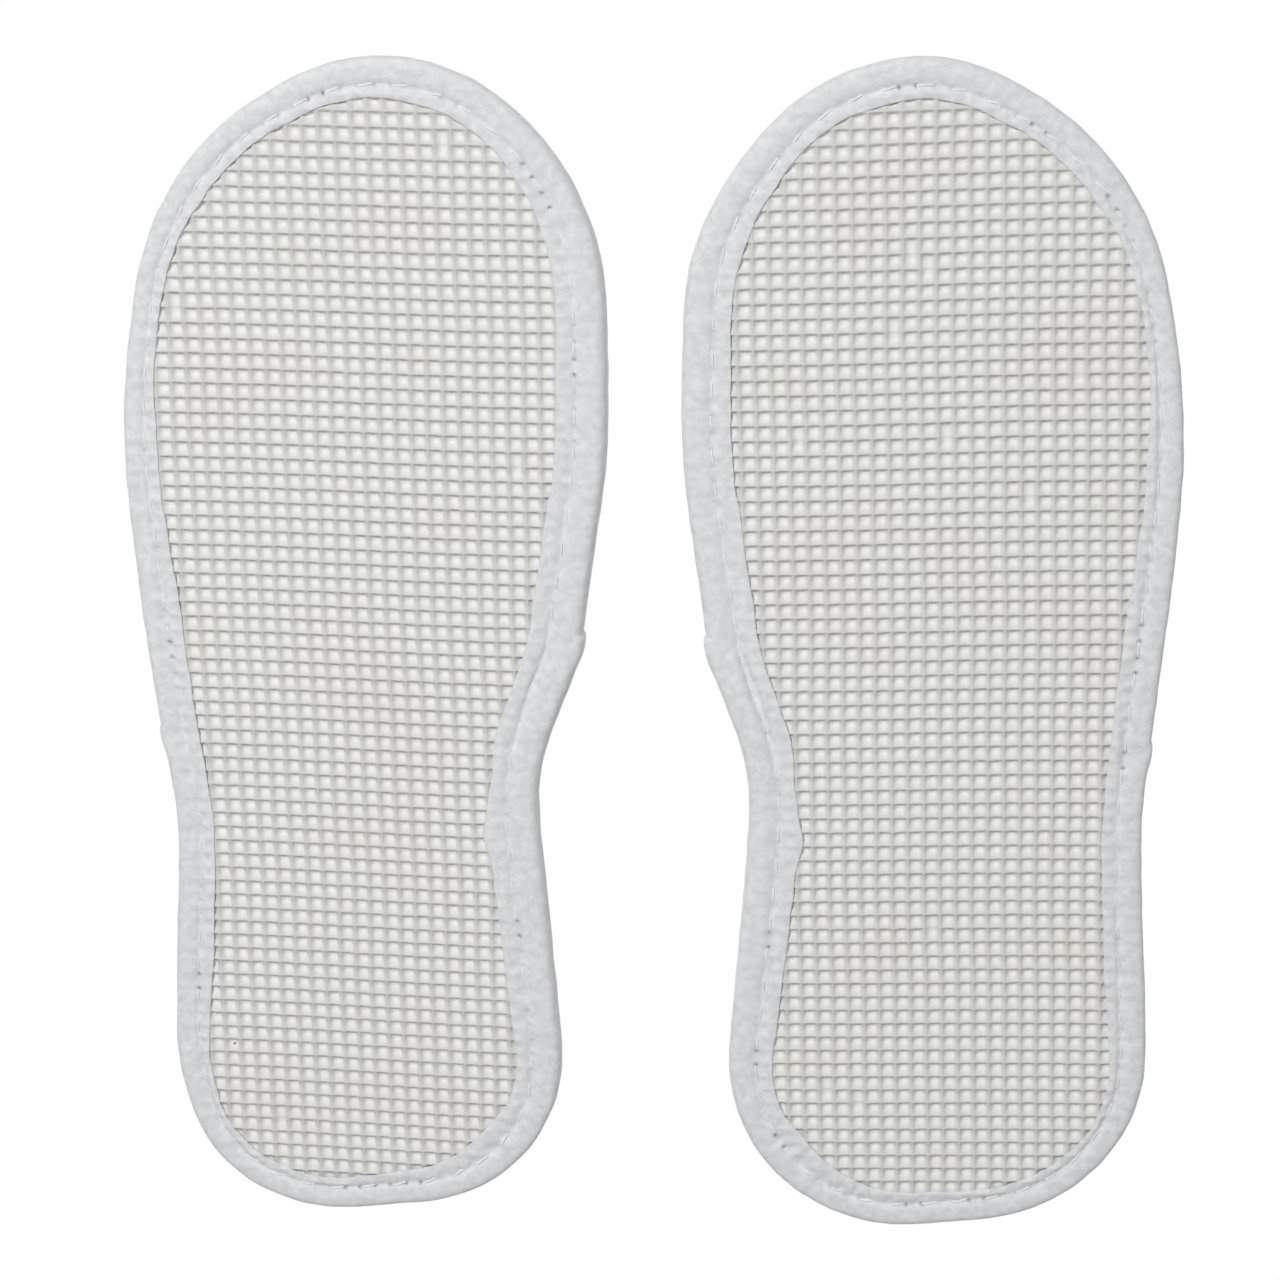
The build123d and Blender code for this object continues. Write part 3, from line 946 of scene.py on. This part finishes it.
def arch_point(arch_line, y, across):
    """A point of the vamp's arch in the own frame, across from 0, medial, to 1, lateral."""
    low, high = ends_at(arch_line, y)
    width = high - low
    tall = ARCH_HEIGHT * (np.maximum(arch_line[:, 1].max() - y, 0) / ARCH_REACH) ** ARCH_TAPER
    t = across
    b1, b2, b3 = 3 * t * (1 - t) ** 2, 3 * t * t * (1 - t), t ** 3
    x = low * (1 - t) ** 3 + (low + MEDIAL_LEAN * width) * b1 + (high - LATERAL_LEAN * width) * b2 + high * b3
    z = COVER_TOP + tall * 4 / 3 * (b1 + b2)
    return np.stack([x, y + 0 * x, z], -1)


def throat_y(x, z):
    """How far forward the throat's leaning plane lies, in the own frame."""
    slope = (LATERAL_THROAT_Y - MEDIAL_THROAT_Y) / (2 * THROAT_HALF_WIDTH)
    lean = math.tan(THROAT_LEAN) * math.hypot(1, slope)
    return (LATERAL_THROAT_Y + MEDIAL_THROAT_Y) / 2 + slope * x + (z - COVER_TOP) * lean


def vamp_surface(sole):
    """The vamp's outside, [rows, columns, 3], tip first, medial to lateral."""
    arch_line = band_at(sole, ARCH_INSET)
    tip = arch_line[:, 1].max()
    bend = np.linspace(0, 1, ARCH_COLUMNS)
    across = bend + 0.06 * np.sin(2 * math.pi * bend)
    rows = []
    end = np.full(ARCH_COLUMNS, (MEDIAL_THROAT_Y + LATERAL_THROAT_Y) / 2)
    for _ in range(12):
        edge = arch_point(arch_line, end, across)
        end = 0.5 * end + 0.5 * throat_y(edge[:, 0], edge[:, 2])
    for row in range(ARCH_ROWS + 1):
        share = (row / ARCH_ROWS) ** 2 * (0.72 + 0.28 * (row / ARCH_ROWS))
        y = tip - (tip - end) * share
        rows.append(arch_point(arch_line, y, across))
    arch = np.array(rows)
    arch[..., 2] = np.maximum(arch[..., 2], MARGIN_TOP - 0.3)
    feet = to_pair(arch[:, [0, -1]])
    grid = []
    for k, foot in enumerate((feet[:, 0], feet[:, 1])):
        depth, near = sole.depth(foot[:, :2])
        strip = []
        for share in np.linspace(0, 1, MARGIN_COLUMNS + 1)[:-1]:
            d = 1.2 + (depth - 1.2) * share
            p = sole.rim[near] + sole.inward[near] * d[:, None]
            strip.append(np.column_stack([p, np.full(len(p), MARGIN_TOP - 0.1)]))
        strip = np.array(strip).transpose(1, 0, 2)
        grid.append(strip if k == 0 else strip[:, ::-1])
    body = to_pair(arch)
    return np.concatenate([grid[0], body, grid[1]], 1)


def relax(grid, rounds, weight):
    """Evens a grid of points towards its neighbours; its border and the tip stay."""
    for _ in range(rounds):
        middle = (grid[:-2, 1:-1] + grid[2:, 1:-1] + grid[1:-1, :-2] + grid[1:-1, 2:]) / 4
        grid = grid.copy()
        grid[1:-1, 1:-1] += weight[1:-1, 1:-1, None] * (middle - grid[1:-1, 1:-1])
    return grid


def grid_normals(grid):
    """Unit normals of a grid of points, upwards at the throat."""
    down = np.gradient(grid, axis=0)
    across = np.gradient(grid, axis=1)
    normal = np.cross(across, down)
    length = np.linalg.norm(normal, axis=-1, keepdims=True)
    normal = np.where(length > 1e-6, normal / np.maximum(length, 1e-6), 0)
    normal[0] = normal[1]
    flip = np.sign(normal[-1, normal.shape[1] // 2, 2]) or 1
    return normal * flip


def drape(surface):
    """The vamp's cloth, cut a little full and held at its seams, settled by a cloth simulation."""
    rows, columns = surface.shape[:2]
    mesh = bpy.data.meshes.new("drape")
    index = np.arange(rows * columns).reshape(rows, columns)
    mesh.from_pydata((surface.reshape(-1, 3) * METRES).tolist(), [], quads(index).tolist())
    cloth = link("drape", mesh)
    held = np.zeros((rows, columns), bool)
    held[:6] = held[-4:] = True
    held[:, :MARGIN_COLUMNS + 1] = held[:, -MARGIN_COLUMNS - 1:] = True
    cloth.vertex_groups.new(name="sewn").add(index[held].tolist(), 1.0, "REPLACE")
    modifier = cloth.modifiers.new("drape", "CLOTH")
    settings = modifier.settings
    settings.quality = 6
    settings.mass = 0.02
    settings.tension_stiffness = settings.compression_stiffness = 12
    settings.shear_stiffness = 6
    settings.bending_stiffness = 0.6
    settings.shrink_min = -SPARE_CLOTH
    settings.use_pressure = True
    settings.uniform_pressure_force = 0.6
    settings.vertex_group_mass = "sewn"
    settings.effector_weights.gravity = 0.25
    modifier.collision_settings.use_collision = False
    scene = bpy.context.scene
    for step in range(1, 21):
        scene.frame_set(step)
    settled = cloth.evaluated_get(bpy.context.evaluated_depsgraph_get()).data
    place = np.zeros(rows * columns * 3)
    settled.vertices.foreach_get("co", place)
    move = place.reshape(rows, columns, 3) / METRES - surface
    length = np.linalg.norm(move, axis=-1, keepdims=True)
    move *= np.minimum(1, MOST_SAG / np.maximum(length, 1e-6))
    scene.frame_set(1)
    bpy.data.objects.remove(cloth)
    return surface + move


class Vamp:
    """The vamp's outside surface, its normals, and how deep each cloth lies under it."""

    def __init__(self, sole):
        surface = vamp_surface(sole)
        near_foot = np.zeros(surface.shape[:2])
        for offset in range(-4, 5):
            for foot in (MARGIN_COLUMNS, COLUMNS - 1 - MARGIN_COLUMNS):
                near_foot[:, foot + offset] = np.maximum(near_foot[:, foot + offset], 1 - abs(offset) / 5)
        surface = relax(surface, 12, near_foot * 0.8)
        surface = drape(surface)
        normal = grid_normals(surface)
        normal[:, :MARGIN_COLUMNS] = normal[:, -MARGIN_COLUMNS:] = (0, 0, 1)
        for _ in range(3):
            normal[1:, 1:-1] = (normal[1:, 1:-1] * 2 + normal[1:, :-2] + normal[1:, 2:]) / 4
        normal[0] = (0, 0, 1)
        normal /= np.linalg.norm(normal, axis=-1, keepdims=True)
        inset, near = sole.depth(surface[..., :2].reshape(-1, 2))
        inset, near = inset.reshape(surface.shape[:2]), near.reshape(surface.shape[:2])
        from_margin = np.hypot(np.maximum(inset - 9.0, 0), np.maximum(surface[..., 2] - MARGIN_TOP, 0))
        # Soft unevenness of the stuffed cloth, and gathers that run in from the seam round the toe.
        at_toe = smoothstep(190, 262, sole.own_y)[near]
        arc = sole.arc[near]
        gathers = np.sin(2 * math.pi * arc / 9.0 + 1.5 * np.sin(arc / 23.0)) * np.exp(-from_margin / 9.0)
        rise = gathers * (0.18 + 0.42 * at_toe) * smoothstep(0.0, 2.5, from_margin)
        x, y = surface[..., 0], surface[..., 1]
        rise += 0.55 * hum(61, x / 14.0, y / 16.0) * smoothstep(0, 14, from_margin)
        rise += 0.22 * hum(62, x / 5.0, y / 6.5) * smoothstep(0, 8, from_margin)
        rise -= 0.3 * smoothstep(0, 8, from_margin)
        self.surface, self.normal = surface + normal * rise[..., None], normal
        squeezed = SQUEEZED_PADDING + (PADDING - SQUEEZED_PADDING) * smoothstep(0.0, 6.0, from_margin)
        self.outer = np.zeros(surface.shape[:2])
        self.padding = self.outer + OUTER_CLOTH
        self.lining = self.padding + squeezed
        self.cavity = self.lining + LINING

    def beneath(self, level):
        """The surface moved in by the given depths."""
        return self.surface - self.normal * level[..., None]


def along_columns(grid, distance):
    """Points a given distance forward of the throat, measured along each column of a grid."""
    back = grid[::-1]
    steps = np.cumsum(np.linalg.norm(np.diff(back, axis=0), axis=2), axis=0)
    run = np.concatenate([np.zeros((1, back.shape[1])), steps])
    return np.stack([[np.interp(distance, run[:, c], back[:, c, i]) for i in range(3)]
                     for c in range(back.shape[1])])


def build_vamp(sole, vamp):
    """The vamp's outer cloth, sponge and lining, each a closed sheet."""
    side, clearance = sole.side, 0.02
    for name, upper, lower, material, slot, node in (
            ("vamp_cloth", vamp.outer, vamp.padding, nap, "vamp_cloth", "vamp_outer"),
            ("vamp_sponge", vamp.padding + clearance, vamp.lining - clearance, sponge, "sponge",
             "vamp_padding"),
            ("vamp_lining_cloth", vamp.lining, vamp.cavity, lining, "lining_cloth", "vamp_lining")):
        upper, lower = (lay(vamp.beneath(level), side) for level in (upper, lower))
        points, faces = shell(upper, lower, first_wall=False)
        piece = make_piece(f"{side}_{name}", points, faces, merge=0.01)
        yield dress(piece, material, side, slot, node)


def build_throat(sole, vamp):
    """The tape folded over the vamp's open edge, and its two rows of stitches."""
    side = sole.side
    arch = slice(MARGIN_COLUMNS - 1, COLUMNS - MARGIN_COLUMNS + 1)
    outside, inside = vamp.beneath(vamp.outer)[:, arch], vamp.beneath(vamp.cavity)[:, arch]
    normal = vamp.normal[-1, arch]
    uneven = 0.18 * hum(71, np.arange(outside.shape[1]) / 2.1)
    forward = along_columns(outside, 1.0) - along_columns(outside, 0.0)
    forward /= np.linalg.norm(forward, axis=1, keepdims=True)
    edge_out, edge_in = along_columns(outside, 0.0), along_columns(inside, 0.0)
    middle = (edge_out + edge_in) / 2
    # Round the tape's outside, from its cut edge on the vamp over the throat to the one inside it.
    rows = [along_columns(outside, d) + normal * (p + uneven * (p > 0.5))[:, None] for d, p in THROAT_FLANGE]
    rows += [edge_out - forward * 0.6 + normal * 0.6, middle * 0.4 + edge_out * 0.6 - forward * 1.15,
             middle - forward * 1.3,
             middle * 0.4 + edge_in * 0.6 - forward * 1.15, edge_in - forward * 0.6 - normal * 0.6]
    rows += [along_columns(inside, d) - normal * p * 0.8 for d, p in THROAT_FLANGE[::-1]]
    # Then back along its inside, close to the vamp's cloths.
    against, close = (9.6, 6.5, 3.0, 0.0), 0.03
    rows += [along_columns(inside, d) - normal * close for d in against]
    rows += [middle - forward * 0.6]
    rows += [along_columns(outside, d) + normal * close for d in against[::-1]]
    ring = np.array(rows)
    index = np.arange(ring.shape[0] * ring.shape[1]).reshape(ring.shape[:2])
    faces = quads(np.vstack([index, index[:1]])).tolist()
    faces += [index[:, 0].tolist()[::-1], index[:, -1].tolist()]
    piece = make_piece(f"{side}_throat_tape", lay(ring, side).reshape(-1, 3), faces)
    dress(piece, tape, side, "binding_tape", "throat_binding")
    for name, grid, away in (("needle", outside, 0.42), ("bobbin", inside, -0.34)):
        line = along_columns(grid, THROAT_SEAM) + normal * away
        length = np.linalg.norm(np.diff(line, axis=0), axis=1).sum()
        edges = [(i, i + 1) for i in range(len(line) - 1)]
        sew(side, f"throat_{name}", lay(line, side), edges, lay(np.sign(away) * normal, side), {
            "Stitches": round(length / THROAT_PITCH), "Stitch Length": 3.0, "Rise": 0.36,
            "Slant": math.radians(4), "Seed": 3})
    return piece


# ---------------------------------------------------------------- footbed
def ends_by_halves(line, y):
    """As ends_at, exact at both tips."""
    middle = (line[:, 1].min() + line[:, 1].max()) / 2
    low_t, high_t = ends_at(line, np.maximum(y, middle))
    mirrored = line * np.array([1, -1])
    low_h, high_h = ends_at(mirrored, -np.minimum(y, middle))
    toe = y > middle
    return np.where(toe, low_t, low_h), np.where(toe, high_t, high_h)


def bed_grid(sole, inset):
    """A flat grid over the whole sole, inset from its rim."""
    line = band_at(sole, inset)
    low, high = line[:, 1].min(), line[:, 1].max()
    share = (1 - np.cos(np.linspace(0, math.pi, BED_ROWS))) / 2
    y = low + (high - low) * share
    left, right = ends_by_halves(line, y)
    bend = (1 - np.cos(np.linspace(0, math.pi, BED_COLUMNS))) / 2
    bend = 0.5 * bend + 0.5 * np.linspace(0, 1, BED_COLUMNS)
    x = left[:, None] + (right - left)[:, None] * bend
    return to_pair(np.stack([x, np.repeat(y[:, None], BED_COLUMNS, 1), np.zeros_like(x)], -1))


def build_footbed(sole):
    """The cloth that the foot rests on, worn into a slight hollow, and the sponge under it."""
    side = sole.side
    grid = bed_grid(sole, 1.0)
    depth = sole.depth(grid[..., :2].reshape(-1, 2))[0].reshape(grid.shape[:2])
    squeezed = smoothstep(10.5, 6.0, depth) * smoothstep(0.5, 4.0, depth)
    crown = 0.9 * smoothstep(7.5, 15.0, depth) - 0.45 * squeezed
    crown += 0.12 * hum(81, grid[..., 0] / 9.0, grid[..., 1] / 11.0) * smoothstep(8, 14, depth)
    own = to_own(grid[..., :2])
    for hollow, y, across, along in ((0.45, 42, 26, 36), (0.35, 205, 34, 42)):
        crown -= hollow * bell(own[..., 0], across) * bell(own[..., 1] - y, along)
    for name, top, bottom, material, slot, node in (
            ("footbed_cloth", COVER_TOP + crown, FOAM_TOP + crown + 0.05, footbed_nap, "footbed_cloth",
             "footbed_cover"),
            ("footbed_sponge", FOAM_TOP + crown, OUTSOLE_TOP + 0.05, sponge, "sponge", "footbed_foam")):
        upper, lower = grid.copy(), grid.copy()
        upper[..., 2], lower[..., 2] = top, bottom
        points, faces = shell(lay(upper, side), lay(lower, side), False, False)
        piece = make_piece(f"{side}_{name}", points, faces, merge=0.01)
        yield dress(piece, material, side, slot, node)


for side in SIDES:
    sole = Sole(side)
    vamp = Vamp(sole)
    build_outsole(sole)
    sole_tape = build_sole_binding(sole)
    vamp_cloth, vamp_sponge, vamp_lining_cloth = build_vamp(sole, vamp)
    throat_tape = build_throat(sole, vamp)
    footbed_cloth, footbed_sponge = build_footbed(sole)


# ---------------------------------------------------------------- floor, light, camera
CAMERA_PLACE = Vector((-56.67, 179.88, -619.09)) * METRES
CAMERA_AHEAD = Vector((0.0899, -0.2672, 0.9594))
CAMERA_UP = Vector((0.017, 0.9636, 0.2668))


def floor():
    """A plain pale floor that is seen from above only, so that the soles show from below."""
    half, level = 40.0, -0.0006
    corners = [(-half, -half, level), (half, -half, level), (half, half, level), (-half, half, level)]
    mesh = bpy.data.meshes.new("floor")
    mesh.from_pydata(corners, [], [(0, 1, 2, 3)])
    material, tree, _ = new_material("pale_matt_floor")
    path = add_node(tree, "ShaderNodeLightPath")
    seen = add_node(tree, "ShaderNodeNewGeometry")
    above = add_node(tree, "ShaderNodeMath", {"operation": "SUBTRACT"}, {
        0: 1.0, 1: seen.outputs["Backfacing"]})
    shown = add_node(tree, "ShaderNodeMath", {"operation": "MULTIPLY"}, {
        0: path.outputs["Is Camera Ray"], 1: above.outputs[0]})
    clear = add_node(tree, "ShaderNodeBsdfTransparent")
    matt = add_node(tree, "ShaderNodeBsdfDiffuse", inputs={"Color": linear("#ECEBE8")})
    both = add_node(tree, "ShaderNodeMixShader", inputs={
        0: shown.outputs[0], 1: clear.outputs[0], 2: matt.outputs[0]})
    add_node(tree, "ShaderNodeOutputMaterial", inputs={0: both.outputs[0]})
    mesh.materials.append(material)
    link("floor", mesh)


def softbox(name, place, target, size, power):
    """A square white lamp, turned to a target."""
    light = bpy.data.lights.new(name, "AREA")
    light.shape = "SQUARE"
    light.size = size
    light.energy = power
    made = link(name, light)
    made.location = place
    made.rotation_euler = (Vector(target) - Vector(place)).to_track_quat("-Z", "Y").to_euler()


def studio():
    """A white studio: a bright ceiling over the floor and a dimmer surround below it, where the
    lamps model the soles."""
    world = bpy.data.worlds.new("white_studio")
    bpy.context.scene.world = world
    world.use_nodes = True
    tree = world.node_tree
    tree.nodes.clear()
    ray = add_node(tree, "ShaderNodeLightPath")
    around = add_node(tree, "ShaderNodeTexCoord").outputs["Generated"]
    direction = add_node(tree, "ShaderNodeSeparateXYZ", inputs={0: around})
    dome = add_node(tree, "ShaderNodeMapRange", inputs={
        "Value": direction.outputs["Z"], "From Min": -0.05, "From Max": 0.25, "To Min": 0.26, "To Max": 0.78})
    shown, soft = (add_node(tree, "ShaderNodeBackground", inputs={
        "Color": (1, 1, 1, 1), "Strength": strength}) for strength in (1.0, dome.outputs[0]))
    both = add_node(tree, "ShaderNodeMixShader", inputs={
        0: ray.outputs["Is Camera Ray"], 1: soft.outputs[0], 2: shown.outputs[0]})
    add_node(tree, "ShaderNodeOutputWorld", inputs={0: both.outputs[0]})


def place_camera():
    """A long lens below the ground, looking up at the soles with the toes uppermost."""
    lens = bpy.data.cameras.new("camera")
    lens.lens = 75.34
    lens.sensor_width = 36.0
    lens.clip_start = 0.01
    camera = link("camera", lens)
    right_hand = CAMERA_AHEAD.cross(CAMERA_UP).normalized()
    above = right_hand.cross(CAMERA_AHEAD).normalized()
    turn = Matrix((right_hand, above, -CAMERA_AHEAD.normalized())).transposed()
    camera.matrix_world = Matrix.Translation(CAMERA_PLACE) @ turn.to_4x4()
    bpy.context.scene.camera = camera


floor()
softbox("key_below", (0.22, 0.58, -0.95), (-0.3, -2.7, 0), 0.22, 9.7)
softbox("fill_below", (0.0, 0.3, -1.3), (0, 0.05, 0), 0.9, 1.0)
softbox("key_above", (1.1, -0.2, 1.5), (0, 0, 0.02), 0.6, 7)
softbox("fill_above", (-1.2, 0.9, 1.3), (0, 0, 0.02), 1.2, 2.2)
studio()
place_camera()
bpy.context.scene.view_settings.view_transform = "Standard"
